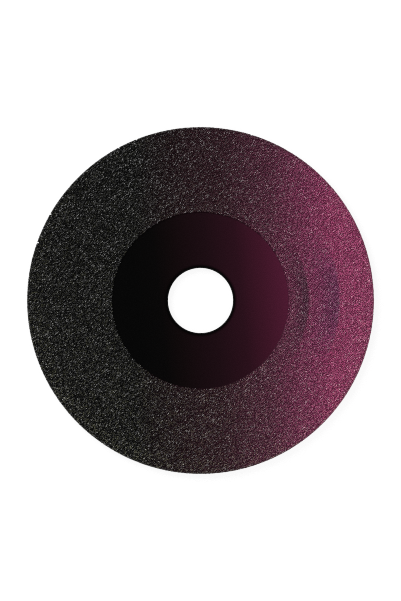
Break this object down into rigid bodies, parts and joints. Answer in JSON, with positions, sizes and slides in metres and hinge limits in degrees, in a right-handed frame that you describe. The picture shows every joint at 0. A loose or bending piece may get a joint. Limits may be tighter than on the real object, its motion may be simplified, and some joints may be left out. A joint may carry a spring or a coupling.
{
  "type": "diamond cutting disc",
  "caption": "Flat round steel disc with a plain centre bore, a smooth bare middle for clamping and a band of coarse diamond grit over both faces and the rim.",
  "frame": {"origin": "on the bore's axis, halfway through the disc's thickness", "axes": "+Z along the bore's axis, out of the printed face; +X towards the magenta side of the print, +Y towards the top of the picture"},
  "size_m": [0.1186, 0.1186, 0.0028],
  "materials": {
    "painted_blank": "satin",
    "diamond_grit": "matte"
  },
  "bodies": {
    "root": {"steel_core": "painted_blank", "diamond_coat": "diamond_grit"}
  },
  "joints": []
}
